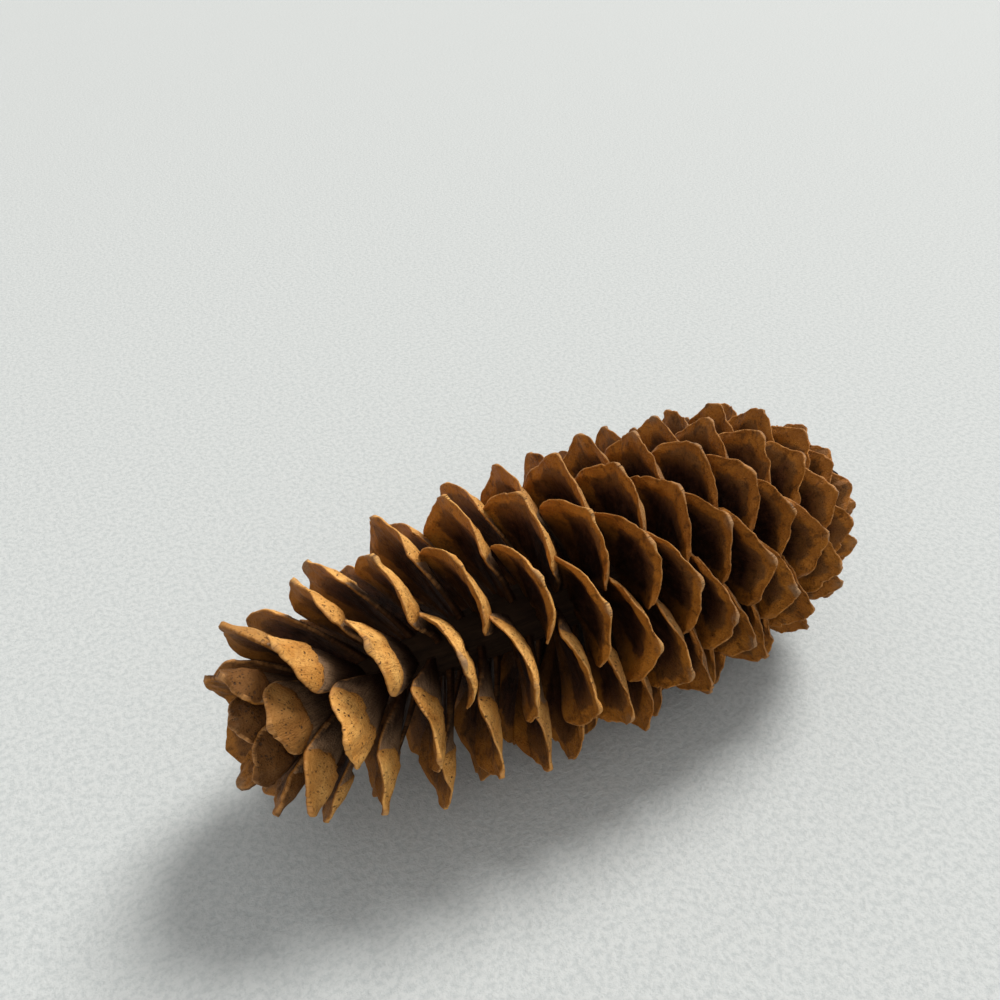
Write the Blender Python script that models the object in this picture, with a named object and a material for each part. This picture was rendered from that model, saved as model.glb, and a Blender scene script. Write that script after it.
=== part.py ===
"""A large open pine cone lying on its side, its tip towards -X and its stalk towards +X.

The cone grew as one piece: a woody axis that ends in a short broken stalk, and thin cupped scales
set round the axis on one spiral.  Each scale widens from a narrow root to a broad, bluntly pointed
end.  Metres, +Z up, standing on z = 0 with the middle of its outline over the origin.

s is the distance along the axis from the foremost scale tips towards the stalk.
"""

import math

import bmesh
import bpy
import numpy as np

# ---------------------------------------------------------------- driving dimensions (metres, degrees)
SCALE_COUNT = 158
SPIRAL_COUNT = 163            # places on the spiral; the last few, at the very tip, stay empty
DIVERGENCE = 137.30           # turn from one scale to the next, close to the golden angle
FIRST_TURN = 105.7            # where the scale next to the stalk stands, up from the -Y side
SEED = 842
AXIS_HEIGHT = 0.0537          # of the cone's axis over the table

# One column for each station from the stalk (0) to the tip (1).
STATION = (0.00, 0.10, 0.20, 0.30, 0.40, 0.50, 0.60, 0.70, 0.80, 0.90, 0.95, 1.00)
POINT_S = (.264, .245, .229, .211, .188, .163, .136, .105, .062, .015, .003, .001)
POINT_RADIUS = (.024, .0420, .0497, .0527, .0546, .0558, .0559, .0546, .0500, .0360, .0215, .0060)
ROOT_S = (.242, .234, .2245, .2125, .196, .1745, .150, .1225, .083, .048, .038, .030)
HALF_WIDTH = (.0075, .0112, .0145, .0170, .0183, .0192, .0196, .0192, .0168, .0120, .0090, .0070)
CURL = (-40., -26., -14., -4., 5., 8., 8., 9., 9., 8., 8., 4.)   # bend towards the tip
TWIST = (-3., -3., -2., -1., 0., 2., 3., 4., 6., 7., 5., 3.)     # +v side towards the tip
CUP = (.0014, .0020, .0026, .0034, .0044, .0054, .0058, .0058, .0048, .0030, .0020, .0014)

AXIS_S = (.024, .038, .065, .110, .170, .212, .236, .248, .262, .276)
AXIS_RADIUS = (.0022, .0050, .0078, .0105, .0125, .0128, .0110, .0078, .0068, .0078)
AXIS_SIDES = 12

ROOT_THICKNESS = 0.0030
THICKNESS = 0.0024            # through the outer part
RIM = 0.0011                  # thickness of the edge
ROOT_SHARE = 0.20             # root width over full width
WIDEST = 0.80                 # share of the length where the scale is widest and swollen
FLARE = 1.3                   # how long the scale stays narrow before it widens
NARROWING = 0.04              # width lost from there to the outer edge
EDGE_SLOPE = 0.62             # how far the edge falls back from its middle point, over the half width
SHOULDER = 0.76               # share of the half width where the edge turns down in a round shoulder
SHOULDER_DROP = 6.7           # how steeply it turns down there
SINK = 0.50                   # the roots start at this share of the axis radius
BROAD = 0.0140                # a scale of more than this half width has five columns, not three
BEND = 0.86                   # where the two extra columns run, over the half width


def smooth(x):
    """0 below 0, 1 above 1, and an S-curve between."""
    x = min(max(x, 0.0), 1.0)
    return x * x * (3.0 - 2.0 * x)


def scale_plans():
    """The place, size and attitude of every scale, from the stalk to the tip."""
    random = np.random.RandomState(SEED)
    plans = []
    for i in range(SCALE_COUNT):
        t = i / (SPIRAL_COUNT - 1)
        wobble = random.uniform(-1.0, 1.0, 6)
        root_s = np.interp(t, STATION, ROOT_S)
        root_radius = SINK * np.interp(root_s, AXIS_S, AXIS_RADIUS)
        along = root_s - np.interp(t, STATION, POINT_S) + 0.0012 * wobble[0]
        out = np.interp(t, STATION, POINT_RADIUS) * (1.0 + 0.015 * wobble[1]) - root_radius
        curl = math.radians(np.interp(t, STATION, CURL) + 3.0 * wobble[2]) or 1e-3
        length = math.hypot(along, out) * 0.5 * curl / math.sin(0.5 * curl)
        half_width = np.interp(t, STATION, HALF_WIDTH) * (1.0 + 0.05 * wobble[4])
        plans.append({
            "turn": math.radians(FIRST_TURN + DIVERGENCE * i + 2.0 * wobble[3]),
            "root_s": root_s,
            "root_radius": root_radius,
            "length": length,
            "lean": math.atan2(along, out) - 0.5 * curl,
            "curl": curl,
            "half_width": half_width,
            "drop": EDGE_SLOPE * half_width / length,
            "cup": np.interp(t, STATION, CUP),
            "twist": math.radians(np.interp(t, STATION, TWIST) + 3.0 * wobble[5]),
        })
    return plans


def scale_point(plan, u, v, face):
    """A point of one scale, with the axis on X and s = 0 at the origin.

    u runs from the root (0) to the outer edge (1), v across from -1 to 1, and face is 1 on the
    side towards the tip and -1 on the side towards the stalk.
    """
    across = abs(v)
    outer = smooth((u - WIDEST) / (1.0 - WIDEST))
    swell = smooth(u / WIDEST)
    spread = math.sin(0.5 * math.pi * min(u / WIDEST, 1.0)) ** FLARE
    fall = across + SHOULDER_DROP * max(across - SHOULDER, 0.0) ** 2
    share = u * (1.0 - plan["drop"] * u * u * fall)
    width = ROOT_SHARE + (1.0 - ROOT_SHARE) * spread - NARROWING * outer
    side = v * plan["half_width"] * width

    body = ROOT_THICKNESS + (THICKNESS - ROOT_THICKNESS) * swell
    thick = body + (RIM - body) * swell * max(across ** 2, outer)
    off = plan["cup"] * swell * v * v + 0.5 * face * thick + side * math.sin(plan["twist"])

    start, curl = plan["lean"], plan["curl"]
    lean = start + curl * share
    out = plan["length"] * (math.sin(lean) - math.sin(start)) / curl
    along = plan["length"] * (math.cos(start) - math.cos(lean)) / curl
    radius = plan["root_radius"] + out - off * math.sin(lean)
    s = plan["root_s"] - along - off * math.cos(lean)

    up, across_up = math.sin(plan["turn"]), math.cos(plan["turn"])
    return (s, side * up - radius * across_up, radius * up + side * across_up)


def strip(bm, near, far):
    """Faces between two rows of vertices that need not have the same count."""
    i = j = 0
    last_near, last_far = len(near) - 1, len(far) - 1
    while i < last_near or j < last_far:
        next_near = (i + 1) * max(last_far, 1)
        next_far = (j + 1) * max(last_near, 1)
        step_near = i < last_near and (j == last_far or next_near <= next_far)
        step_far = j < last_far and (i == last_near or next_far <= next_near)
        ring = [near[i]] + [near[i + 1]] * step_near + [far[j + 1]] * step_far + [far[j]]
        bm.faces.new(ring)
        i += step_near
        j += step_far


def add_scale(plan, name, collection):
    """One scale as a closed blade of few faces, in an object of its own."""
    edge = (-1.0, -BEND, 0.0, BEND, 1.0) if plan["half_width"] > BROAD else (-1.0, 0.0, 1.0)
    rows = ((0.0, (-1.0, 1.0)), (0.42, (-1.0, 1.0)), (WIDEST, edge), (1.0, edge))
    bm = bmesh.new()
    faces = []
    for face in (1, -1):
        rings = [[bm.verts.new(scale_point(plan, u, v, face)) for v in across] for u, across in rows]
        for near, far in zip(rings, rings[1:]):
            strip(bm, near, far)
        faces.append(rings)
    front, back = faces
    for end in (0, -1):
        strip(bm, [ring[end] for ring in front], [ring[end] for ring in back])
        strip(bm, front[end], back[end])
    bmesh.ops.recalc_face_normals(bm, faces=bm.faces)
    bmesh.ops.triangulate(bm, faces=bm.faces)
    mesh = bpy.data.meshes.new(name)
    bm.to_mesh(mesh)
    bm.free()
    collection.objects.link(bpy.data.objects.new(name, mesh))


def add_axis(name):
    """The woody axis, a turned profile that ends in the flat face of the broken stalk."""
    bm = bmesh.new()
    angles = np.linspace(0.0, 2.0 * math.pi, AXIS_SIDES, endpoint=False)
    rings = [[bm.verts.new((s, radius * math.cos(a), radius * math.sin(a))) for a in angles]
             for s, radius in zip(AXIS_S, AXIS_RADIUS)]
    bmesh.ops.contextual_create(bm, geom=rings[0])
    bmesh.ops.contextual_create(bm, geom=rings[-1])
    for near, far in zip(rings, rings[1:]):
        strip(bm, near + near[:1], far + far[:1])
    bmesh.ops.recalc_face_normals(bm, faces=bm.faces)
    mesh = bpy.data.meshes.new(name)
    bm.to_mesh(mesh)
    bm.free()
    axis = bpy.data.objects.new(name, mesh)
    bpy.context.scene.collection.objects.link(axis)
    return axis


def unite(target, collection):
    """Joins every object of the collection to the target, and removes them."""
    union = target.modifiers.new("grown together", "BOOLEAN")
    union.operation = "UNION"
    union.operand_type = "COLLECTION"
    union.collection = collection
    union.solver = "MANIFOLD"
    evaluated = target.evaluated_get(bpy.context.evaluated_depsgraph_get())
    mesh = bpy.data.meshes.new_from_object(evaluated)
    target.modifiers.clear()
    target.data = mesh
    for part in list(collection.objects):
        bpy.data.objects.remove(part)
    bpy.data.collections.remove(collection)


def keep_one_body(bm):
    """Keeps the largest connected shell: no scrap beside it and no sealed hollow inside it."""
    left = set(bm.verts)
    shells = []
    while left:
        shell = {left.pop()}
        edge_of_shell = list(shell)
        while edge_of_shell:
            vert = edge_of_shell.pop()
            for edge in vert.link_edges:
                other = edge.other_vert(vert)
                if other in left:
                    left.remove(other)
                    shell.add(other)
                    edge_of_shell.append(other)
        shells.append(shell)
    shells.sort(key=len)
    for shell in shells[:-1]:
        bmesh.ops.delete(bm, geom=list(shell), context="VERTS")


def flatten_below(bm, height):
    """Cuts level everything under a height, as scale ends worn flat where the cone lies."""
    cut = bmesh.ops.bisect_plane(
        bm, geom=bm.verts[:] + bm.edges[:] + bm.faces[:],
        plane_co=(0.0, 0.0, height), plane_no=(0.0, 0.0, 1.0), clear_inner=True)
    rim = [item for item in cut["geom_cut"] if isinstance(item, bmesh.types.BMEdge)]
    bmesh.ops.holes_fill(bm, edges=rim)
    bmesh.ops.triangulate(bm, faces=bm.faces)


def wood():
    """Warm brown wood with a dull surface."""
    material = bpy.data.materials.new("cone_wood")
    material.use_nodes = True
    shader = material.node_tree.nodes["Principled BSDF"]
    shader.inputs["Base Color"].default_value = (0.21, 0.095, 0.036, 1.0)
    shader.inputs["Roughness"].default_value = 0.62
    shader.inputs["Metallic"].default_value = 0.0
    material.diffuse_color = (0.21, 0.095, 0.036, 1.0)
    return material


def main():
    for item in list(bpy.data.objects):
        bpy.data.objects.remove(item)

    cone = add_axis("pine_cone")
    scales = bpy.data.collections.new("scales")
    bpy.context.scene.collection.children.link(scales)
    for i, plan in enumerate(scale_plans()):
        add_scale(plan, f"scale_{i:03d}", scales)
    unite(cone, scales)

    bm = bmesh.new()
    bm.from_mesh(cone.data)
    flatten_below(bm, -AXIS_HEIGHT)
    keep_one_body(bm)
    spots = np.array([vert.co[:] for vert in bm.verts])
    middle = 0.5 * (spots.min(axis=0) + spots.max(axis=0))
    bmesh.ops.translate(bm, verts=bm.verts, vec=(-middle[0], -middle[1], AXIS_HEIGHT))
    bm.to_mesh(cone.data)
    bm.free()

    cone.data.materials.clear()
    cone.data.materials.append(wood())


main()
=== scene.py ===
# %% [markdown]
# # A large open pine cone
#
# This lesson dresses a plain solid of a pine cone.  A real cone is one grown piece: a woody axis,
# and scales that stand round it on a single spiral.  The plain solid gives the size and the place
# of everything.  Here each scale is made again with many more faces, and gets the colours, the
# grain and the wear of dry cone wood.
#
# Its box is read and printed, and places the cone along the X axis.

# %% Load the frame
import math

import bpy
import numpy as np
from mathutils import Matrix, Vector


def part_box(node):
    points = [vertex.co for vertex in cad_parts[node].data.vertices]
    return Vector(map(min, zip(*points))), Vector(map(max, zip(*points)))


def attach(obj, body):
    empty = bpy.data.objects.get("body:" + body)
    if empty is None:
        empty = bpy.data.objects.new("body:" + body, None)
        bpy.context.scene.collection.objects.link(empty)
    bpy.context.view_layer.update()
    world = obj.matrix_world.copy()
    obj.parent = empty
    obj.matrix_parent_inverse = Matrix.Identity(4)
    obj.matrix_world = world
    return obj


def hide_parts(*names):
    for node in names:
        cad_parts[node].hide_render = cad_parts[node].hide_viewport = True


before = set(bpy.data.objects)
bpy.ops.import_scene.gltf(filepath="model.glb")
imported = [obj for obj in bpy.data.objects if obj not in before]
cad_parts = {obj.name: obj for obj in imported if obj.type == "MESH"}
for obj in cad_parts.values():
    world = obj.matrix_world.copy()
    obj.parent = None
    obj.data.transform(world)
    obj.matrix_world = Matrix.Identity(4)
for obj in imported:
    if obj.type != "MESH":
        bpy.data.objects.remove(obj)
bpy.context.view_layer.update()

SOLID = "pine_cone"
solid_low, solid_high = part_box(SOLID)
print("solid", SOLID, "from", solid_low, "to", solid_high)

# %% [markdown]
# ## The spiral
#
# Each scale stands 137.3 degrees further round than the one before it, which is close to the
# golden angle.  That one rule makes the two families of curves that are seen on every cone.  Along
# the cone, the scales change slowly: near the stalk they are small and bend back, in the middle
# they are broad, and at the tip they are narrow and lean forwards.  A short table gives each
# measure at a few stations, and every scale reads its own values from between them.
#
# Distances are metres.  `s` is the distance along the axis from the foremost scale tips.

# %% Driving dimensions of the cone
SCALE_COUNT = 158
SPIRAL_COUNT = 163            # places on the spiral; the last few, at the very tip, stay empty
DIVERGENCE = 137.30           # degrees from one scale to the next
FIRST_TURN = 105.7            # degrees up from the -Y side, for the scale next to the stalk
SEED = 842
AXIS_HEIGHT = 0.0537          # of the cone's axis over the table
STALK_END = 0.276             # s of the broken end of the stalk
TIP_END = solid_high[0] - STALK_END        # x where s = 0

# One column for each station from the stalk (0) to the tip (1).
STATION = (0.00, 0.10, 0.20, 0.30, 0.40, 0.50, 0.60, 0.70, 0.80, 0.90, 0.95, 1.00)
POINT_S = (.264, .245, .229, .211, .188, .163, .136, .105, .062, .015, .003, .001)
POINT_RADIUS = (.024, .0420, .0497, .0527, .0546, .0558, .0559, .0546, .0500, .0360, .0215, .0060)
ROOT_S = (.242, .234, .2245, .2125, .196, .1745, .150, .1225, .083, .048, .038, .030)
HALF_WIDTH = (.0075, .0112, .0145, .0170, .0183, .0192, .0196, .0192, .0168, .0120, .0090, .0070)
CURL = (-40., -26., -14., -4., 5., 8., 8., 9., 9., 8., 8., 4.)   # bend towards the tip
TWIST = (-3., -3., -2., -1., 0., 2., 3., 4., 6., 7., 5., 3.)     # +v side towards the tip
CUP = (.0014, .0020, .0026, .0034, .0044, .0054, .0058, .0058, .0048, .0030, .0020, .0014)
# The corners of the outer edge, from rounded (0) to pointed (1), and the thickness of the edge.
CORNERS = (0.0, 0.0, 0.0, 0.1, 0.3, 0.5, 0.7, 0.9, 1.0, 0.7, 0.3, 0.0)
RIM = (.0007, .0007, .0007, .0007, .0007, .0007, .0007, .0008, .0009, .0013, .0018, .0018)

AXIS_S = (.024, .038, .065, .110, .170, .212, .236, .248, .262, STALK_END)
AXIS_RADIUS = (.0022, .0050, .0078, .0105, .0125, .0128, .0110, .0078, .0068, .0078)
SINK = 0.50                   # the roots start at this share of the axis radius
EDGE_SLOPE = 0.62             # how far a scale's edge falls back from its middle, over the half width


def scale_plans():
    """The place, size and attitude of every scale, from the stalk to the tip."""
    random = np.random.RandomState(SEED)
    plans = []
    for i in range(SCALE_COUNT):
        t = i / (SPIRAL_COUNT - 1)
        wobble = random.uniform(-1.0, 1.0, 6)
        root_s = np.interp(t, STATION, ROOT_S)
        root_radius = SINK * np.interp(root_s, AXIS_S, AXIS_RADIUS)
        along = root_s - np.interp(t, STATION, POINT_S) + 0.0012 * wobble[0]
        out = np.interp(t, STATION, POINT_RADIUS) * (1.0 + 0.015 * wobble[1]) - root_radius
        curl = math.radians(np.interp(t, STATION, CURL) + 3.0 * wobble[2]) or 1e-3
        length = math.hypot(along, out) * 0.5 * curl / math.sin(0.5 * curl)
        half_width = np.interp(t, STATION, HALF_WIDTH) * (1.0 + 0.05 * wobble[4])
        plans.append({
            "turn": math.radians(FIRST_TURN + DIVERGENCE * i + 2.0 * wobble[3]),
            "root_s": root_s,
            "root_radius": root_radius,
            "length": length,
            "lean": math.atan2(along, out) - 0.5 * curl,
            "curl": curl,
            "half_width": half_width,
            "drop": EDGE_SLOPE * half_width / length,
            "cup": np.interp(t, STATION, CUP),
            "corners": np.interp(t, STATION, CORNERS),
            "rim": np.interp(t, STATION, RIM),
            "twist": math.radians(np.interp(t, STATION, TWIST) + 3.0 * wobble[5]),
            "station": t,
            "number": float(i),
        })
    return plans


plans = scale_plans()
print(len(plans), "scales planned, the longest", round(1000 * max(p["length"] for p in plans), 1), "mm")

# %% [markdown]
# ## Formulas as nodes
#
# The shape of a scale is a formula, and Geometry Nodes can work it out for every point of every
# scale at once.  Typing a long formula as separate Math nodes is hard to read, so this small class
# wraps a node's output.  Adding or multiplying two wrapped values writes the Math node for it.

# %% A number that writes its own Math nodes
class Number:
    """One value in a node tree; arithmetic on it adds the Math nodes that work it out."""

    def __init__(self, tree, socket):
        self.tree = tree
        self.socket = socket

    def math(self, operation, *others):
        node = self.tree.nodes.new("ShaderNodeMath")
        node.operation = operation
        for slot, value in zip(node.inputs, (self,) + others):
            if isinstance(value, Number):
                self.tree.links.new(value.socket, slot)
            else:
                slot.default_value = value
        return Number(self.tree, node.outputs[0])

    def like(self, value):
        """A plain number as a wrapped one."""
        node = self.tree.nodes.new("ShaderNodeValue")
        node.outputs[0].default_value = value
        return Number(self.tree, node.outputs[0])

    def __add__(self, other): return self.math("ADD", other)
    def __radd__(self, other): return self.math("ADD", other)
    def __mul__(self, other): return self.math("MULTIPLY", other)
    def __rmul__(self, other): return self.math("MULTIPLY", other)
    def __sub__(self, other): return self.math("SUBTRACT", other)
    def __rsub__(self, other): return self.like(other).math("SUBTRACT", self)
    def __truediv__(self, other): return self.math("DIVIDE", other)
    def __neg__(self): return self.math("MULTIPLY", -1.0)
    def __pow__(self, power): return self.math("POWER", power)
    def __abs__(self): return self.math("ABSOLUTE")
    def sin(self): return self.math("SINE")
    def cos(self): return self.math("COSINE")
    def sqrt(self): return self.math("SQRT")
    def least(self, other): return self.math("MINIMUM", other)
    def most(self, other): return self.math("MAXIMUM", other)
    def exp(self): return self.math("EXPONENT")

    def step(self, low, high):
        """0 below low, 1 above high, and an S-curve between; turned over if low is above high."""
        node = self.tree.nodes.new("ShaderNodeMapRange")
        node.interpolation_type = "SMOOTHSTEP"
        self.tree.links.new(self.socket, node.inputs["Value"])
        node.inputs["From Min"].default_value = min(low, high)
        node.inputs["From Max"].default_value = max(low, high)
        node.inputs["To Min"].default_value = float(low > high)
        node.inputs["To Max"].default_value = float(low < high)
        return Number(self.tree, node.outputs["Result"])

    def hump(self, centre, width):
        """1 at the centre, falling off on both sides as a bell."""
        return (-(((self - centre) * (1.0 / width)) ** 2.0)).exp()


def vector_of(x, y, z):
    """Three wrapped numbers as one vector socket."""
    node = x.tree.nodes.new("ShaderNodeCombineXYZ")
    for slot, value in zip(node.inputs, (x, y, z)):
        x.tree.links.new(value.socket, slot)
    return node.outputs[0]


def noise_of(vector, tree, scale, detail=2.0, roughness=0.5):
    """Smooth noise from -1 to 1 over a vector."""
    node = tree.nodes.new("ShaderNodeTexNoise")
    tree.links.new(vector, node.inputs["Vector"])
    node.inputs["Scale"].default_value = scale
    node.inputs["Detail"].default_value = detail
    node.inputs["Roughness"].default_value = roughness
    return Number(tree, node.outputs["Fac"]) * 2.0 - 1.0


print("formula helpers ready")

# %% [markdown]
# ## One scale
#
# A scale is a woody blade.  It has a narrow root, widens to a rounded or pointed outer edge, and is
# cupped like a spoon, with its hollow towards the cone's tip.  The part of its back that was on
# show while the cone was closed is swollen and pale, and ends in a small rough point, the umbo.
#
# A sculpted scale could be copied 158 times, but every scale is bent and sized differently.  So
# the node tree starts from a plain box grid for each scale.  The box's own coordinates become `u`,
# from the root to the outer edge, `v`, from side to side, and `side`, which is 1 on the face that
# looks towards the tip and -1 on the back.  The formulas then bend every box into its own scale.

# %% Measures shared by all scales
ROOT_THICKNESS = 0.0030
THICKNESS = 0.0024            # through the middle
ROOT_SHARE = 0.20             # root width over full width
WIDEST = 0.80                 # share of the length where the scale is widest
FLARE = 1.3                   # how long the scale stays narrow before it widens
NARROWING = 0.04              # width lost from there to the outer edge
SHOULDER = 0.76               # share of the half width where the edge turns down in a round shoulder
SHOULDER_DROP = 6.7           # how steeply it turns down there
BLUNTNESS = 0.20              # how blunt the middle of the edge is, over the half width
SHOW = 0.36                   # share of the length that was on show in the closed cone
SWELLING = 0.0011             # of that part, on the back
KEEL = 0.0016                 # ridge down the middle of that part, on the scales near the tip
DISH = 0.0011                 # extra hollow in the middle of the front
LIP = 0.00035                 # height of the line where the part on show ends
UMBO_HEIGHT = 0.0010
PRINT_DEPTH = 0.0005          # of the two marks where the winged seeds lay
EDGE_BEND = 0.0010            # how far the outer edge bends back
REST_SOFTNESS = 0.0024        # scale ends lower than this are pressed up by the table

# How strong each kind of unevenness is.  The first three are shares of the edge's own fall.
UNEVEN = 0.50
RAGGED = 0.160
CHIPPED = 0.10
WAVY = 0.07                   # share of the width
WARP = 0.0026                 # metres, as the next three
RIPPLE = 0.0036
LUMPS = 0.0006
FIBRES = 0.00016

FLOATS = ("turn", "root_s", "root_radius", "length", "lean", "curl", "half_width", "drop", "cup",
          "corners", "rim", "twist", "station", "number")


def attribute(tree, name):
    """A number stored on the points, read by its name."""
    node = tree.nodes.new("GeometryNodeInputNamedAttribute")
    node.data_type = "FLOAT"
    node.inputs["Name"].default_value = name
    return Number(tree, next(s for s in node.outputs if s.enabled and s.name == "Attribute"))


def store_vector(tree, geometry, name, vector):
    """Keeps a vector on the points under a name, for the material to read."""
    node = tree.nodes.new("GeometryNodeStoreNamedAttribute")
    node.data_type = "FLOAT_VECTOR"
    node.domain = "POINT"
    node.inputs["Name"].default_value = name
    tree.links.new(geometry, node.inputs["Geometry"])
    tree.links.new(vector, next(s for s in node.inputs if s.enabled and s.name == "Value"))
    return node.outputs["Geometry"]


print("scale thickness", THICKNESS * 1000, "mm, edge", RIM[0] * 1000, "to", RIM[-1] * 1000, "mm")

# %% [markdown]
# The outline comes first.  Seen flat, the outer edge falls back on both sides of its blunt middle,
# and turns down in a round shoulder at each corner.  Noise that depends on `v` and on the scale's
# number makes the edge uneven and chips it, so no two edges are alike.

# %% The outline of a scale
def calm_where_sharp(a):
    """Less unevenness on scales with sharp corners, and on the small ones at the tip."""
    return (1.0 - a["corners"] * 0.6) * (1.0 - a["station"].step(0.82, 0.92) * 0.65)


def outline(tree, u, v, a):
    """The share of the length reached at the outer edge, and the share of the width at u."""
    across = abs(v)
    nothing = v * 0.0
    blunt = (v * v + BLUNTNESS ** 2).sqrt() - BLUNTNESS
    beyond = (across - SHOULDER).most(0.0)
    shoulder = beyond * beyond * (1.0 - a["corners"] * 0.5) * SHOULDER_DROP
    fall = blunt * (1.0 / (math.hypot(1.0, BLUNTNESS) - BLUNTNESS)) + shoulder
    calm = calm_where_sharp(a)
    along_edge = vector_of(v * 1.0, a["number"] * 1.7, nothing)
    uneven = noise_of(along_edge, tree, 1.1) * UNEVEN * calm
    ragged = noise_of(along_edge, tree, 4.5, 4.0, 0.6) * RAGGED * calm
    chips = noise_of(vector_of(v * 1.0, a["number"] * 2.9, nothing + 5.0), tree, 4.0, 3.0).step(0.26, 0.34)
    waist = across.hump(0.48, 0.22) * 0.03
    margin = 1.0 - a["drop"] * (fall + waist - uneven * across - ragged + chips * CHIPPED)

    spread = ((u * (1.0 / WIDEST)).least(1.0) * (0.5 * math.pi)).sin() ** FLARE
    width = spread * (1.0 - ROOT_SHARE) + ROOT_SHARE - u.step(WIDEST, 1.0) * NARROWING
    wavy = noise_of(vector_of(u * 2.2, v * 0.6, a["number"] * 1.3), tree, 1.6) * WAVY + 1.0
    return margin, width * wavy


print("outline ready: corners fall", round(EDGE_SLOPE * 19, 1), "mm behind the middle on a 38 mm scale")

# %% [markdown]
# The second formula gives the thickness.  The blade thins to its edge, the back swells where it
# was on show, and the front has two shallow prints where the winged seeds lay.  Broad uneven
# noise keeps both faces from looking pressed from sheet.

# %% The faces of a scale
def faces(tree, u, v, side, a, inward, across_m):
    """How far a point stands off the blade's mid-line, and the marks that the colours need."""
    swell, outer = u.step(0.0, WIDEST), u.step(WIDEST, 1.0)
    body = swell * (THICKNESS - ROOT_THICKNESS) + ROOT_THICKNESS
    edge = (v * v * v * v).most(outer)
    thick = body + (a["rim"] - body) * swell * edge

    limit = (1.0 - v * v * 0.92).most(0.02).sqrt() * a["length"] * SHOW
    limit = limit * (noise_of(vector_of(v * 1.2, a["number"] * 1.1, v * 0.0), tree, 1.6) * 0.30 + 1.0)
    depth = inward / limit
    on_show = depth.step(1.04, 0.92)
    lip = depth.hump(0.95, 0.07) * LIP
    umbo = (inward * inward + across_m * across_m).sqrt()
    back = (side * -1.0).most(0.0)
    front = side.most(0.0)
    keel = (1.0 - abs(v) * 1.15).most(0.0) * a["station"].step(0.82, 0.94) * KEEL
    raised = (on_show * (keel + SWELLING) + lip) * (1.0 - edge) + umbo.hump(0.0006, 0.0024) * UMBO_HEIGHT

    prints = (1.0 - ((abs(v) - 0.42) * 2.6) ** 2.0 - ((u - 0.34) * 3.2) ** 2.0).step(0.0, 0.16)
    fibres = noise_of(vector_of(v * 9.0, u * 1.2, a["number"] * 3.1), tree, 1.4, 3.0) * FIBRES
    own_face = vector_of(v * 2.2, u * 4.5, a["number"] * 1.9 + side * 7.0)
    lumps = noise_of(own_face, tree, 1.3, 3.0, 0.55) * LUMPS
    lumps = lumps * swell * (1.0 - edge * 0.6) * (1.0 - a["station"].step(0.72, 0.95) * 0.6)

    flared = v * v * 1.6 - v * v * v * v * v * v * 0.6
    hooked = v * v * 0.45 + v * v * v * v * 0.70
    flank = flared + (hooked - flared) * a["corners"]
    warp = noise_of(vector_of(u * 1.6, v * 0.9, a["number"] * 2.3), tree, 1.3) * WARP * swell
    warp = warp * (1.0 - a["corners"] * 0.5)
    ripple = noise_of(vector_of(v * 1.0, u * 0.5, a["number"] * 2.7), tree, 2.4, 2.0) * RIPPLE
    warp = warp + ripple * u.step(0.55, 1.0) * calm_where_sharp(a)
    middle = a["cup"] * swell * flank - outer * outer * EDGE_BEND + across_m * a["twist"].sin() + warp
    dish = (1.0 - v * v * 1.3).most(0.0) * u.hump(0.66, 0.24) * DISH
    lowered = prints * PRINT_DEPTH + dish - fibres
    off = middle + side * thick * 0.5 - back * (raised + fibres) - front * lowered + lumps
    return off, depth, umbo


print("the part once on show is", round(SHOW * 50), "mm deep on a 50 mm scale")

# %% [markdown]
# The last formula bends the flat blade along an arc and turns it to its place round the axis.  The
# scale ends that reach the table are pressed up a little, as they are under a real cone.

# %% Bend the blade and set it round the axis
def set_in_place(tree, share, off, across_m, a):
    """The point's place in the world, from its place on the blade."""
    lean = a["lean"] + a["curl"] * share
    out = a["length"] * (lean.sin() - a["lean"].sin()) / a["curl"]
    along = a["length"] * (a["lean"].cos() - lean.cos()) / a["curl"]
    radius = a["root_radius"] + out - off * lean.sin()
    s = a["root_s"] - along - off * lean.cos()
    up, flat = a["turn"].sin(), a["turn"].cos()
    height = radius * up + across_m * flat + AXIS_HEIGHT
    pressed = ((height.least(REST_SOFTNESS) - REST_SOFTNESS) * (1.0 / REST_SOFTNESS)).exp() * REST_SOFTNESS
    resting = height.most(REST_SOFTNESS) - REST_SOFTNESS + pressed
    return vector_of(s + TIP_END, across_m * up - radius * flat, resting)


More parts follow.
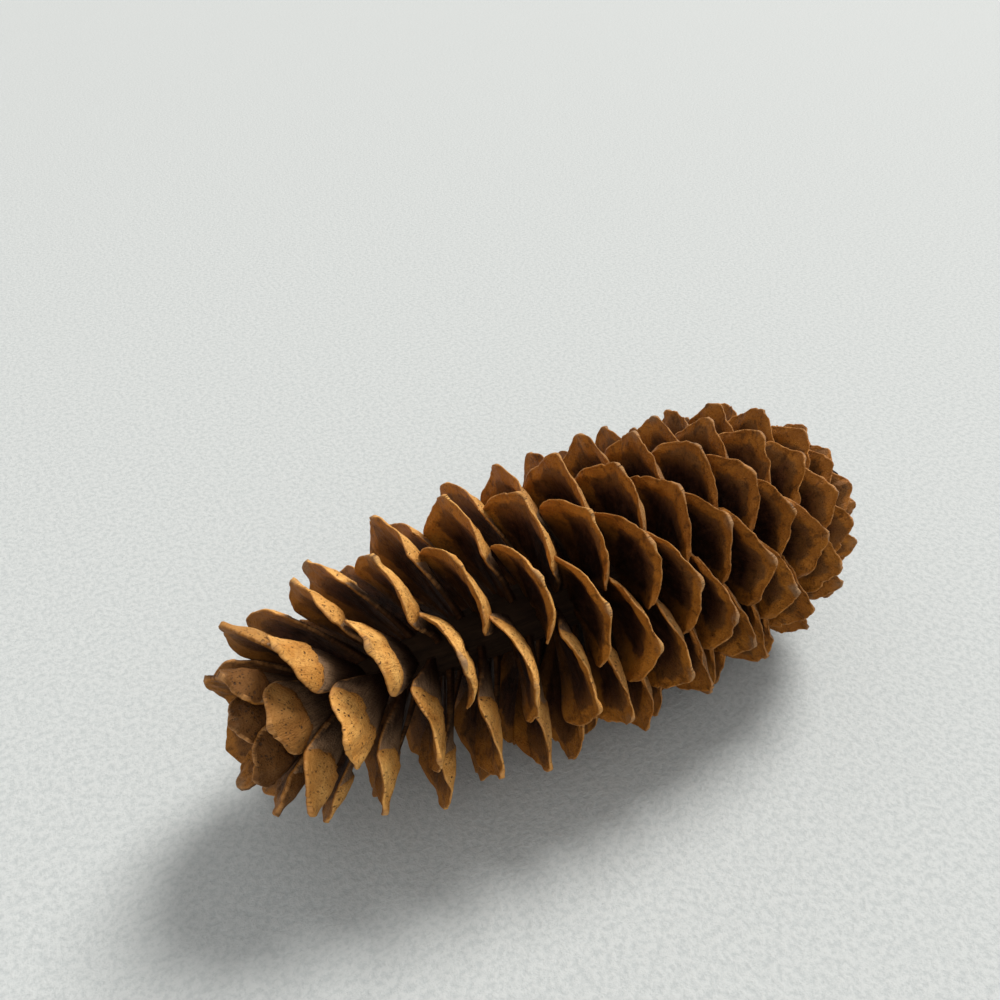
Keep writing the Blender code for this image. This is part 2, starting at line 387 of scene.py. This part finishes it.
def scale_tree():
    """Geometry Nodes that grow a finished scale on every point."""
    tree = bpy.data.node_groups.new("cone scales", "GeometryNodeTree")
    face = tree.interface
    face.new_socket("Points", in_out="INPUT", socket_type="NodeSocketGeometry")
    face.new_socket("Points Along", in_out="INPUT", socket_type="NodeSocketInt")
    face.new_socket("Points Across", in_out="INPUT", socket_type="NodeSocketInt")
    face.new_socket("Wood", in_out="INPUT", socket_type="NodeSocketMaterial")
    face.new_socket("Scales", in_out="OUTPUT", socket_type="NodeSocketGeometry")
    link, new = tree.links.new, tree.nodes.new
    inputs, outputs = new("NodeGroupInput"), new("NodeGroupOutput")

    box = new("GeometryNodeMeshCube")
    link(inputs.outputs["Points Along"], box.inputs["Vertices X"])
    link(inputs.outputs["Points Across"], box.inputs["Vertices Y"])
    box.inputs["Vertices Z"].default_value = 3
    blank = store_vector(tree, box.outputs["Mesh"], "blank", new("GeometryNodeInputPosition").outputs[0])
    on_points = new("GeometryNodeInstanceOnPoints")
    link(inputs.outputs["Points"], on_points.inputs["Points"])
    link(blank, on_points.inputs["Instance"])
    realize = new("GeometryNodeRealizeInstances")
    link(on_points.outputs["Instances"], realize.inputs["Geometry"])

    read = new("GeometryNodeInputNamedAttribute")
    read.data_type = "FLOAT_VECTOR"
    read.inputs["Name"].default_value = "blank"
    split = new("ShaderNodeSeparateXYZ")
    link(next(s for s in read.outputs if s.enabled and s.name == "Attribute"), split.inputs[0])
    x, y, z = (Number(tree, socket) for socket in split.outputs)
    a = {name: attribute(tree, name) for name in FLOATS}

    # The grid is finer towards the edges, where the form turns fastest.
    x = x + 0.5
    u = x * (1.5 - x * 0.5)
    y = y * 2.0
    v = y * (1.3 - y * y * 0.3)
    side = z * 2.0
    bead = 1.0 - abs(side)

    margin, width = outline(tree, u, v, a)
    share = u * ((margin - 1.0) * u * u + 1.0)
    across_m = v * a["half_width"] * width * (bead * 0.02 + 1.0)
    inward = (margin - share) * a["length"]
    off, depth, umbo = faces(tree, u, v, side, a, inward, across_m)
    place = set_in_place(tree, share * (bead * 0.008 + 1.0), off, across_m, a)
    rim = inward.least((1.0 - abs(v)) * a["half_width"] * width)

    move = new("GeometryNodeSetPosition")
    marked = store_vector(tree, realize.outputs["Geometry"], "blade", vector_of(u, v, side))
    fibre_place = vector_of(across_m, share * a["length"], a["number"] * 0.37)
    marked = store_vector(tree, marked, "grain", fibre_place)
    marked = store_vector(tree, marked, "marks", vector_of(rim, umbo, depth))
    marked = store_vector(tree, marked, "kind", vector_of(a["station"], a["number"], inward))
    link(marked, move.inputs["Geometry"])
    link(place, move.inputs["Position"])
    smooth = new("GeometryNodeSetShadeSmooth")
    link(move.outputs["Geometry"], smooth.inputs["Geometry"])
    finish = new("GeometryNodeSetMaterial")
    link(smooth.outputs["Geometry"], finish.inputs["Geometry"])
    link(inputs.outputs["Wood"], finish.inputs["Material"])
    link(finish.outputs["Geometry"], outputs.inputs["Scales"])
    return tree


tree = scale_tree()
print("scale tree has", len(tree.nodes), "nodes")

# %% [markdown]
# ## Colours and wear
#
# Some effects are needed in more than one material, so each is a shader node group: the grain that
# runs along the fibres, small dark specks, and the pale worn line along an edge.  The groups only
# put out masks and heights.  The shader itself stays in each material.

# %% Helpers for materials
def new_group(name, numbers, results, vector_in="Vector"):
    """An empty shader group with a vector input, number inputs and number outputs."""
    group = bpy.data.node_groups.new(name, "ShaderNodeTree")
    group.interface.new_socket(vector_in, in_out="INPUT", socket_type="NodeSocketVector")
    for label, value in numbers.items():
        socket = group.interface.new_socket(label, in_out="INPUT", socket_type="NodeSocketFloat")
        socket.default_value = value
    for label in results:
        group.interface.new_socket(label, in_out="OUTPUT", socket_type="NodeSocketFloat")
    inputs = group.nodes.new("NodeGroupInput")
    outputs = group.nodes.new("NodeGroupOutput")
    values = {label: Number(group, inputs.outputs[label]) for label in numbers}
    return group, inputs.outputs[vector_in], values, outputs


def use_group(tree, group, vector, **values):
    """The group placed in a material; gives its outputs as wrapped numbers."""
    node = tree.nodes.new("ShaderNodeGroup")
    node.node_tree = group
    tree.links.new(vector, node.inputs[0])
    for label, value in values.items():
        slot = node.inputs[label.replace("_", " ")]
        if isinstance(value, Number):
            tree.links.new(value.socket, slot)
        else:
            slot.default_value = value
    return {socket.name: Number(tree, socket) for socket in node.outputs}


def scaled(tree, vector, x, y, z):
    """A vector with each of its numbers multiplied."""
    node = tree.nodes.new("ShaderNodeMapping")
    node.inputs["Scale"].default_value = (x, y, z)
    tree.links.new(vector, node.inputs["Vector"])
    return node.outputs[0]


def blend_colour(tree, mask, low, high):
    """The low colour where the mask is 0 and the high one where it is 1."""
    node = tree.nodes.new("ShaderNodeMix")
    node.data_type = "RGBA"
    slots = [s for s in node.inputs if s.enabled]
    for slot, value in zip(slots, (mask.socket, low, high)):
        if isinstance(value, tuple):
            slot.default_value = value + (1.0,)
        else:
            tree.links.new(value, slot)
    return next(s for s in node.outputs if s.enabled)


def grain_group():
    """Fibres that run along Y of the vector, in metres: a mask of streaks and a finer one."""
    group, vector, value, out = new_group("cone wood grain", {"Fibre": 1.0}, ("Streaks", "Hairs"))
    broad = noise_of(scaled(group, vector, 620.0, 60.0, 1.0), group, 1.0, 3.0, 0.6)
    fine = noise_of(scaled(group, vector, 2600.0, 190.0, 1.0), group, 1.0, 2.0, 0.6)
    group.links.new((broad * value["Fibre"] * 0.5 + 0.5).socket, out.inputs["Streaks"])
    group.links.new((fine * value["Fibre"] * 0.5 + 0.5).socket, out.inputs["Hairs"])
    return group


def speck_group():
    """Small round specks, some large and most small, with bare patches between."""
    group, vector, value, out = new_group("dark specks", {"Amount": 0.5, "Fineness": 1000.0}, ("Specks",))
    cells = group.nodes.new("ShaderNodeTexVoronoi")
    group.links.new(vector, cells.inputs["Vector"])
    group.links.new(value["Fineness"].socket, cells.inputs["Scale"])
    distance = Number(group, cells.outputs["Distance"])
    pick = group.nodes.new("ShaderNodeSeparateColor")
    group.links.new(cells.outputs["Color"], pick.inputs[0])
    chosen = (value["Amount"] - Number(group, pick.outputs[0])).step(0.0, 0.10)
    size = Number(group, pick.outputs[1]) * 0.26 + 0.12
    patch = noise_of(scaled(group, vector, 160.0, 160.0, 1.0), group, 1.0).step(-0.55, 0.15)
    dots = (size - distance).step(0.0, 0.10)
    group.links.new((dots * chosen * patch).socket, out.inputs["Specks"])
    return group


def edge_group():
    """A pale worn line along an edge, broken here and there."""
    group, vector, value, out = new_group("worn edge", {"Distance": 0.0, "Width": 0.0007}, ("Worn",))
    broken = noise_of(scaled(group, vector, 420.0, 420.0, 1.0), group, 1.0, 3.0, 0.6)
    reach = value["Width"] * (broken * 0.9 + 1.0)
    line = (reach - value["Distance"]) * 4000.0
    group.links.new(line.step(0.0, 1.0).socket, out.inputs["Worn"])
    return group


grain, specks, worn_edge = grain_group(), speck_group(), edge_group()
print("shader groups:", grain.name, "/", specks.name, "/", worn_edge.name)

# %% [markdown]
# A scale has four finishes.  On the front, a smooth orange-brown band runs inside the edge, and the
# hollow is dark, with painted shade that darkens it deeper in.  On the back, the part once on show is
# pale tan with dark specks, and the rest is dull grey-brown with fine lines, turning to painted shade
# near the root.  The thin rim faces are painted pale, partly bare wood and partly a painted highlight.
# The scales near the tip are paler than those near the stalk.

# %% Colours of the dry wood
FRONT_DARK = (0.021, 0.0078, 0.0040)
FRONT_BROWN = (0.130, 0.050, 0.021)
FRONT_GOLD = (0.190, 0.078, 0.018)
BAND_RUST = (0.265, 0.090, 0.012)
BAND_AMBER = (0.530, 0.205, 0.027)
BACK_DARK = (0.023, 0.0115, 0.0065)
BACK_GREY = (0.245, 0.145, 0.080)
BACK_DUST = (0.365, 0.220, 0.118)
SHOW_TAN = (0.820, 0.460, 0.135)
SHOW_OCHRE = (0.500, 0.215, 0.042)
SHOW_RUST = (0.240, 0.082, 0.013)
WEATHERED_DARK = (0.130, 0.062, 0.024)
WEATHERED = (0.330, 0.175, 0.078)
SPECK = (0.060, 0.028, 0.012)
# Pale edge wood, also used as a painted highlight along the thin rim faces.
EDGE_PALE_AND_GLINT = (0.560, 0.270, 0.090)
UMBO_GREY = (0.300, 0.175, 0.090)

WOOD_SHINE = 0.12             # dry wood reflects little
SCALE_BUMP = 0.00085          # depth of the finest relief, metres


def stored(tree, name):
    """A vector stored on the mesh, split in three numbers, and the vector itself."""
    node = tree.nodes.new("ShaderNodeAttribute")
    node.attribute_name = name
    split = tree.nodes.new("ShaderNodeSeparateXYZ")
    tree.links.new(node.outputs["Vector"], split.inputs[0])
    return [Number(tree, socket) for socket in split.outputs], node.outputs["Vector"]


def bump_from(tree, height, distance):
    """A bump of the given depth, in metres, from a height between 0 and 1."""
    node = tree.nodes.new("ShaderNodeBump")
    node.inputs["Strength"].default_value = 1.0
    node.inputs["Distance"].default_value = distance
    tree.links.new(height.socket, node.inputs["Height"])
    return node.outputs["Normal"]


def scale_wood():
    """The finish of the scales."""
    material = bpy.data.materials.new("scale_wood")
    material.use_nodes = True
    tree = material.node_tree
    shader = tree.nodes["Principled BSDF"]
    (u, v, side), _ = stored(tree, "blade")
    (_, _, _), fibre = stored(tree, "grain")
    (rim, umbo, depth), _ = stored(tree, "marks")
    (station, number, inward), _ = stored(tree, "kind")

    lines = use_group(tree, grain, fibre, Fibre=1.0)
    dots = use_group(tree, specks, fibre, Amount=0.36, Fineness=680.0)["Specks"]
    pepper = use_group(tree, specks, fibre, Amount=0.95, Fineness=1050.0)["Specks"]
    dots = dots.most(pepper * 0.85)
    worn = use_group(tree, worn_edge, fibre, Distance=rim, Width=0.00035)["Worn"]
    cloud = noise_of(scaled(tree, fibre, 130.0, 110.0, 1.0), tree, 1.0, 4.0, 0.6) * 0.5 + 0.5
    mottle = noise_of(scaled(tree, fibre, 420.0, 300.0, 1.0), tree, 1.0, 4.0, 0.65) * 0.5 + 0.5
    stain = noise_of(scaled(tree, fibre, 300.0, 200.0, 1.0), tree, 1.0, 5.0, 0.72).step(0.02, 0.30)
    own = noise_of(vector_of(number * 7.31, number * 0.0, number * 0.0), tree, 1.0, 0.0)
    paler = (station + own * 0.10).step(0.45, 0.80)

    # The front: a dark hollow that turns golden towards the edge, and a smooth band along the edge.  The
    # hollow is also darker deep in, towards the root, as painted shade.
    mottle_and_shade = mottle * 0.8 + lines["Streaks"] * 0.5 + cloud * 0.3 + u.step(0.55, 0.95) * 0.35
    hollow = blend_colour(tree, mottle_and_shade.step(0.65, 1.25), FRONT_DARK, FRONT_BROWN)
    from_edge = (inward * 0.55).least(rim) + (cloud - 0.5) * 0.0100 + (mottle - 0.5) * 0.0050
    near = from_edge.step(0.0085, 0.0035)
    gilded = near * u.step(0.50, 0.80) * (mottle * 0.6 + 0.5).least(1.0)
    golden = blend_colour(tree, gilded, hollow, FRONT_GOLD)
    band_tone = blend_colour(tree, (cloud * 0.9 + paler * 0.25 + own * 0.15).step(0.25, 0.90),
                             BAND_RUST, BAND_AMBER)
    lopsided = noise_of(vector_of(v * 0.7, number * 2.3, number * 0.0), tree, 1.5) * 0.0110
    narrower = station.step(0.40, 0.0) * 0.0016
    frayed = (mottle - 0.5) * 0.0040 + (cloud - 0.5) * 0.0070
    band = (rim + lopsided + narrower + frayed).step(0.0068, 0.0044)
    band = band * (u.step(0.40, 0.75) * 0.75 + 0.15) * (1.0 - station.step(0.60, 0.85) * 0.55)
    front = blend_colour(tree, band, golden, band_tone)

    # The back: the part once on show, and the dull part behind it.
    on_show = (depth + (mottle - 0.5) * 0.06).step(1.0, 0.95)
    shown_tone = blend_colour(tree, (cloud * 0.9 + own * 0.2 + mottle * 0.3 - 0.1).step(0.25, 0.85),
                              SHOW_OCHRE, SHOW_TAN)
    rusty = (depth + (cloud - 0.5) * 0.5).step(0.55, 1.05) * 0.55
    shown_tone = blend_colour(tree, rusty, shown_tone, SHOW_RUST)
    weathered = blend_colour(tree, cloud, WEATHERED_DARK, WEATHERED)
    shown_tone = blend_colour(tree, paler, weathered, shown_tone)
    blotch = (mottle * 0.8 + lines["Hairs"] * 0.4 - 0.05).step(0.52, 0.76).most(stain * 0.8) * 0.68
    tip_rust = station.step(0.875, 0.945) * 0.85
    tip_dark = station.step(0.88, 0.95) * (0.90 - cloud * 0.5)
    shown_tone = blend_colour(tree, blotch.most(tip_rust), shown_tone, SHOW_RUST)
    shown_tone = blend_colour(tree, tip_dark, shown_tone, BACK_DARK)
    shown_tone = blend_colour(tree, dots, shown_tone, SPECK)
    dull = blend_colour(tree, (lines["Streaks"] * 0.8 + mottle * 0.4 - 0.1).step(0.25, 1.0),
                        BACK_DARK, BACK_GREY)
    dusty = (depth + (cloud - 0.5) * 0.8 + (mottle - 0.5) * 0.3).step(2.1, 0.9)
    dusty = dusty * (1.0 - lines["Streaks"] * 0.7)
    dull = blend_colour(tree, dusty, dull, BACK_DUST)
    dull = blend_colour(tree, (lines["Hairs"] * 0.7 + mottle * 0.5).step(0.52, 0.80) * 0.6, dull, BACK_DARK)
    # Painted shade: the dull back turns near-black towards the root, deep in the gaps between scales.
    dull = blend_colour(tree, u.step(0.60, 0.15), dull, FRONT_DARK)
    back = blend_colour(tree, on_show, dull, shown_tone)

    scratches = (lines["Hairs"] * 0.6 + mottle * 0.7 - 0.15).step(0.56, 0.78)
    front = blend_colour(tree, (scratches * 0.60).most(stain * 0.55), front, FRONT_DARK)
    colour = blend_colour(tree, side.step(-0.35, 0.35), back, front)
    # The rim faces of the thin edges are painted pale: partly bare wood, partly a painted highlight along
    # every edge.
    raw_and_glint = (1.0 - abs(side)).step(0.2, 0.7) * mottle.step(0.35, 0.70) * 0.7
    pale = raw_and_glint.most(worn * mottle.step(0.45, 0.80)) * u.step(0.25, 0.6)
    colour = blend_colour(tree, pale, colour, EDGE_PALE_AND_GLINT)
    scab = (umbo + (mottle - 0.5) * 0.0060).step(0.0040, 0.0016) * (own + mottle - 0.4).step(0.0, 0.6)
    colour = blend_colour(tree, scab.least(1.0), colour, UMBO_GREY)
    tree.links.new(colour, shader.inputs["Base Color"])

    rough = 0.60 - band * side.step(-0.2, 0.2) * 0.16 + (lines["Hairs"] - 0.5) * 0.14 + scab * 0.2
    tree.links.new(rough.socket, shader.inputs["Roughness"])
    grit = noise_of(scaled(tree, fibre, 1700.0, 1300.0, 1.0), tree, 1.0, 3.0, 0.6)
    height = lines["Streaks"] * 0.5 + lines["Hairs"] * 0.3 + mottle * 0.6 + grit * 0.35
    height = height - dots * 0.5 * on_show + scab * 0.5
    tree.links.new(bump_from(tree, height, SCALE_BUMP), shader.inputs["Normal"])
    shader.inputs["Specular IOR Level"].default_value = WOOD_SHINE
    return material


scale_material = scale_wood()
print("material", scale_material.name, "has", len(scale_material.node_tree.nodes), "nodes")

# %% [markdown]
# ## Grow the scales
#
# One mesh with all the scales would be too heavy to edit, so they are grown in five groups along
# the cone.  Each group starts as a mesh with one point for each scale, which carries that scale's
# own measures.  The tree turns the points into scales, and the result becomes a plain mesh.

# %% Grow five groups of scales
POINTS_ALONG = 32
POINTS_ACROSS = 37


def points_mesh(name, some_plans):
    """A mesh with one point for each plan, and the plan's numbers stored on it."""
    mesh = bpy.data.meshes.new(name)
    mesh.vertices.add(len(some_plans))
    for label in FLOATS:
        values = mesh.attributes.new(label, "FLOAT", "POINT")
        values.data.foreach_set("value", [float(plan[label]) for plan in some_plans])
    return mesh


def grow(name, some_plans):
    """The finished scales of one group, as an object with a plain mesh."""
    piece = bpy.data.objects.new(name, points_mesh(name, some_plans))
    bpy.context.scene.collection.objects.link(piece)
    growth = piece.modifiers.new("grow", "NODES")
    growth.node_group = tree
    choices = {"Points Along": POINTS_ALONG, "Points Across": POINTS_ACROSS, "Wood": scale_material}
    for item in tree.interface.items_tree:
        if item.name in choices:
            growth[item.identifier] = choices[item.name]
    evaluated = piece.evaluated_get(bpy.context.evaluated_depsgraph_get())
    mesh = bpy.data.meshes.new_from_object(evaluated)
    piece.modifiers.clear()
    piece.data = mesh
    for label in FLOATS + ("blank",):
        if label in mesh.attributes:
            mesh.attributes.remove(mesh.attributes[label])
    return piece


GROUPS = ("scales_base", "scales_rear", "scales_middle", "scales_fore", "scales_tip")
scale_pieces = []
for name, numbers in zip(GROUPS, np.array_split(np.arange(SCALE_COUNT), len(GROUPS))):
    piece = grow(name, [plans[i] for i in numbers])
    scale_pieces.append(piece)
    print(name, len(numbers), "scales,", 2 * len(piece.data.polygons), "triangles")

# %% [markdown]
# ## The axis and the stalk
#
# The scales grow from a woody axis, which shows only as dark wood deep in the gaps; its bark is
# darkened further as painted shade for those gaps.  It ends in the stalk, which broke off short when
# the cone fell.  A turned profile gives its form, and noise that is stretched along it gives the ribs
# of its bark and the torn fibres of its end.

# %% Make the axis
AXIS_RINGS = 150
AXIS_SIDES = 72
BREAK_DEPTH = 0.0011          # how uneven the broken face is
FACE_RINGS = 9
RIB_HEIGHT = 0.045            # of the bark's ribs, over the radius
RIB_WINDING = 55.0            # radians that the ribs turn in one metre
TIP_POINT = 0.002             # length of the point that closes the axis at the tip


def axis_ring(s, radius, phase):
    """One ring of points round the axis, with ribs of bark."""
    turns = np.linspace(0.0, 2.0 * math.pi, AXIS_SIDES, endpoint=False)
    ribs = (0.5 * np.sin(9 * turns + phase) + 0.3 * np.sin(17 * turns - 2.1 * phase)
            + 0.2 * np.sin(31 * turns + phase))
    rough = radius * (1.0 + RIB_HEIGHT * ribs)
    return np.column_stack([np.full(AXIS_SIDES, s), rough * np.cos(turns), rough * np.sin(turns)])


def axis_points():
    """All rings, from the tip to the middle of the broken face."""
    rings = []
    for s in np.linspace(AXIS_S[0], AXIS_S[-1], AXIS_RINGS):
        rings.append(axis_ring(s, np.interp(s, AXIS_S, AXIS_RADIUS), RIB_WINDING * s))
    for k in range(1, FACE_RINGS):
        ring = axis_ring(AXIS_S[-1], AXIS_RADIUS[-1] * (1.0 - k / FACE_RINGS), RIB_WINDING * AXIS_S[-1])
        turns = np.arctan2(ring[:, 2], ring[:, 1])
        torn = 0.5 + 0.3 * np.sin(3 * turns + k) + 0.2 * np.sin(7 * turns - 2 * k)
        ring[:, 0] -= BREAK_DEPTH * torn * (k > 1)
        rings.append(ring)
    points = np.vstack(rings)
    return points + np.array([TIP_END, 0.0, AXIS_HEIGHT]), len(rings)


def make_axis(name):
    """The closed mesh of the axis."""
    points, rings = axis_points()
    last = len(points)
    ends = [[TIP_END + AXIS_S[0] - TIP_POINT, 0.0, AXIS_HEIGHT],
            [TIP_END + AXIS_S[-1] - 0.5 * BREAK_DEPTH, 0.0, AXIS_HEIGHT]]
    quads = []
    for k in range(rings - 1):
        for j in range(AXIS_SIDES):
            n = (j + 1) % AXIS_SIDES
            near, far = k * AXIS_SIDES, (k + 1) * AXIS_SIDES
            quads.append((near + j, near + n, far + n, far + j))
    for j in range(AXIS_SIDES):
        n = (j + 1) % AXIS_SIDES
        far = (rings - 1) * AXIS_SIDES
        quads.append((last, n, j))
        quads.append((last + 1, far + j, far + n))
    mesh = bpy.data.meshes.new(name)
    mesh.from_pydata(points.tolist() + ends, [], quads)
    mesh.shade_smooth()
    mesh.set_sharp_from_angle(angle=math.radians(50.0))
    piece = bpy.data.objects.new(name, mesh)
    bpy.context.scene.collection.objects.link(piece)
    return piece


axis = make_axis("axis")
print("axis has", len(axis.data.polygons), "faces")

# %% [markdown]
# The stalk's bark is grey-brown and its broken face shows pale wood with darker rings.  The face is
# told from the bark by its distance from the end, so one material does both.

# %% Finish the axis
# Dark bark, darkened further as painted shade for the deep gaps where the axis shows.
BARK_DARK_AND_SHADE = (0.014, 0.0070, 0.0035)
BARK_GREY = (0.050, 0.026, 0.013)
HEART_PALE = (0.420, 0.250, 0.120)
HEART_DARK = (0.160, 0.080, 0.034)
RING_DENSITY = 5200.0         # of the year rings in the broken face, radians in one metre
BARK_BUMP = 0.0006


def axis_wood():
    """The finish of the axis and of the broken stalk."""
    material = bpy.data.materials.new("axis_wood")
    material.use_nodes = True
    tree = material.node_tree
    shader = tree.nodes["Principled BSDF"]
    place = tree.nodes.new("ShaderNodeTexCoord").outputs["Object"]
    centre = tree.nodes.new("ShaderNodeMapping")
    centre.inputs["Location"].default_value = (-TIP_END - STALK_END, 0.0, -AXIS_HEIGHT)
    tree.links.new(place, centre.inputs["Vector"])
    split = tree.nodes.new("ShaderNodeSeparateXYZ")
    tree.links.new(centre.outputs[0], split.inputs[0])
    x, y, z = (Number(tree, socket) for socket in split.outputs)
    radius = (y * y + z * z).sqrt()

    fibre = vector_of(z, x, y)
    lines = use_group(tree, grain, fibre, Fibre=1.0)
    streaked = (lines["Streaks"] * 0.8 + lines["Hairs"] * 0.3).step(0.3, 0.9)
    bark = blend_colour(tree, streaked, BARK_DARK_AND_SHADE, BARK_GREY)
    wobble = noise_of(scaled(tree, centre.outputs[0], 260.0, 260.0, 260.0), tree, 1.0, 3.0)
    rings = (radius * RING_DENSITY + wobble * 2.0).sin() * 0.5 + 0.5
    heart = blend_colour(tree, rings * 0.35 + lines["Hairs"] * 0.6, HEART_DARK, HEART_PALE)
    face = (radius + wobble * 0.0004).step(0.0068, 0.0060) * x.step(-0.0016, -0.0009)
    colour = blend_colour(tree, face, bark, heart)
    tree.links.new(colour, shader.inputs["Base Color"])
    shader.inputs["Roughness"].default_value = 0.80
    shader.inputs["Specular IOR Level"].default_value = WOOD_SHINE
    height = lines["Streaks"] * 0.7 + lines["Hairs"] * 0.3 + rings * face * 0.5
    tree.links.new(bump_from(tree, height, BARK_BUMP), shader.inputs["Normal"])
    return material


axis.data.materials.append(axis_wood())
print("axis finished in", axis.data.materials[0].name)

# %% [markdown]
# ## Ride on the frame
#
# Every piece rides on the cone's one body, and stands for the plain solid, which is then hidden.

# %% Attach every piece to the cone's body and hide the solid
for piece in scale_pieces + [axis]:
    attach(piece, "root")
    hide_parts(SOLID)
print(len(scale_pieces) + 1, "pieces ride on the cone's body")

# %% [markdown]
# ## Floor, light and camera
#
# The cone lies on a plain pale floor.  A broad soft light stands high behind the stalk's end, so the
# pale backs of the scales near the tip catch it.  A weak one from the front keeps the gaps deep but
# not black.  Both are suns, because a sun lights the whole floor evenly.

# %% Set the floor
FLOOR_SIZE = 16.0
FLOOR_DARK = (0.360, 0.379, 0.379)
FLOOR_PALE = (0.431, 0.446, 0.442)
FLOOR_GRAIN = 420.0           # noise cells in one metre
FLOOR_BUMP = 0.0006


def floor_material():
    """A matt pale surface with a fine uneven grain."""
    material = bpy.data.materials.new("floor_pale")
    material.use_nodes = True
    floor_tree = material.node_tree
    shader = floor_tree.nodes["Principled BSDF"]
    place = floor_tree.nodes.new("ShaderNodeTexCoord").outputs["Object"]
    pits = noise_of(place, floor_tree, FLOOR_GRAIN, 4.0, 0.7) * 0.5 + 0.5
    colour = blend_colour(floor_tree, pits.step(0.35, 0.60), FLOOR_DARK, FLOOR_PALE)
    floor_tree.links.new(colour, shader.inputs["Base Color"])
    floor_tree.links.new(bump_from(floor_tree, pits, FLOOR_BUMP), shader.inputs["Normal"])
    shader.inputs["Roughness"].default_value = 0.85
    return material


def make_floor():
    """A wide flat square under the cone."""
    half = 0.5 * FLOOR_SIZE
    mesh = bpy.data.meshes.new("floor")
    corners = [(-half, -half, 0.0), (half, -half, 0.0), (half, half, 0.0), (-half, half, 0.0)]
    mesh.from_pydata(corners, [], [(0, 1, 2, 3)])
    mesh.materials.append(floor_material())
    floor = bpy.data.objects.new("floor", mesh)
    bpy.context.scene.collection.objects.link(floor)
    return floor


make_floor()
print("floor", FLOOR_SIZE, "m wide")

# %% Light the cone
KEY_FROM, KEY_SPREAD, KEY_STRENGTH = (0.80, 0.30, 1.15), 24.0, 3.85
FILL_FROM, FILL_SPREAD, FILL_STRENGTH = (-0.60, -0.95, 0.75), 60.0, 0.50
KEY_COLOUR, FILL_COLOUR = (1.0, 0.985, 0.955), (1.0, 0.98, 0.96)
SKY_COLOUR, SKY_STRENGTH = (1.0, 1.0, 0.99, 1.0), 0.64


def soft_sun(name, towards, spread, strength, colour):
    """Even light from a broad patch of sky; towards points from the cone to the light."""
    lamp = bpy.data.lights.new(name, "SUN")
    lamp.angle = math.radians(spread)
    lamp.energy = strength
    lamp.color = colour
    holder = bpy.data.objects.new(name, lamp)
    holder.rotation_euler = Vector(towards).to_track_quat("Z", "Y").to_euler()
    bpy.context.scene.collection.objects.link(holder)


soft_sun("key", KEY_FROM, KEY_SPREAD, KEY_STRENGTH, KEY_COLOUR)
soft_sun("fill", FILL_FROM, FILL_SPREAD, FILL_STRENGTH, FILL_COLOUR)

world = bpy.data.worlds.new("studio")
world.use_nodes = True
sky = world.node_tree.nodes["Background"]
sky.inputs["Color"].default_value = SKY_COLOUR
sky.inputs["Strength"].default_value = SKY_STRENGTH
bpy.context.scene.world = world
bpy.context.scene.view_settings.view_transform = "Standard"
print("two soft lights and a pale surround")

# %% [markdown]
# The camera looks down by 35 degrees, from beside the cone's tip, with the cone lying obliquely
# away from it to the right.  Its lens gives a view as wide as it is far.

# %% Place the camera
LENS = 36.0
SENSOR = 36.0
CAMERA_PLACE = (TIP_END - 0.0392, -0.2297, AXIS_HEIGHT + 0.2443)
CAMERA_HEADING = math.radians(32.3)        # turned from looking along +Y towards +X
CAMERA_PITCH = math.radians(34.9)          # looking down

camera_data = bpy.data.cameras.new("camera")
camera_data.lens = LENS
camera_data.sensor_width = SENSOR
camera = bpy.data.objects.new("camera", camera_data)
camera.location = CAMERA_PLACE
camera.rotation_euler = (math.radians(90.0) - CAMERA_PITCH, 0.0, -CAMERA_HEADING)
bpy.context.scene.collection.objects.link(camera)
bpy.context.scene.camera = camera
print("camera", round(math.dist(CAMERA_PLACE, (0.0, 0.0, AXIS_HEIGHT)), 3), "m from the middle of the cone")
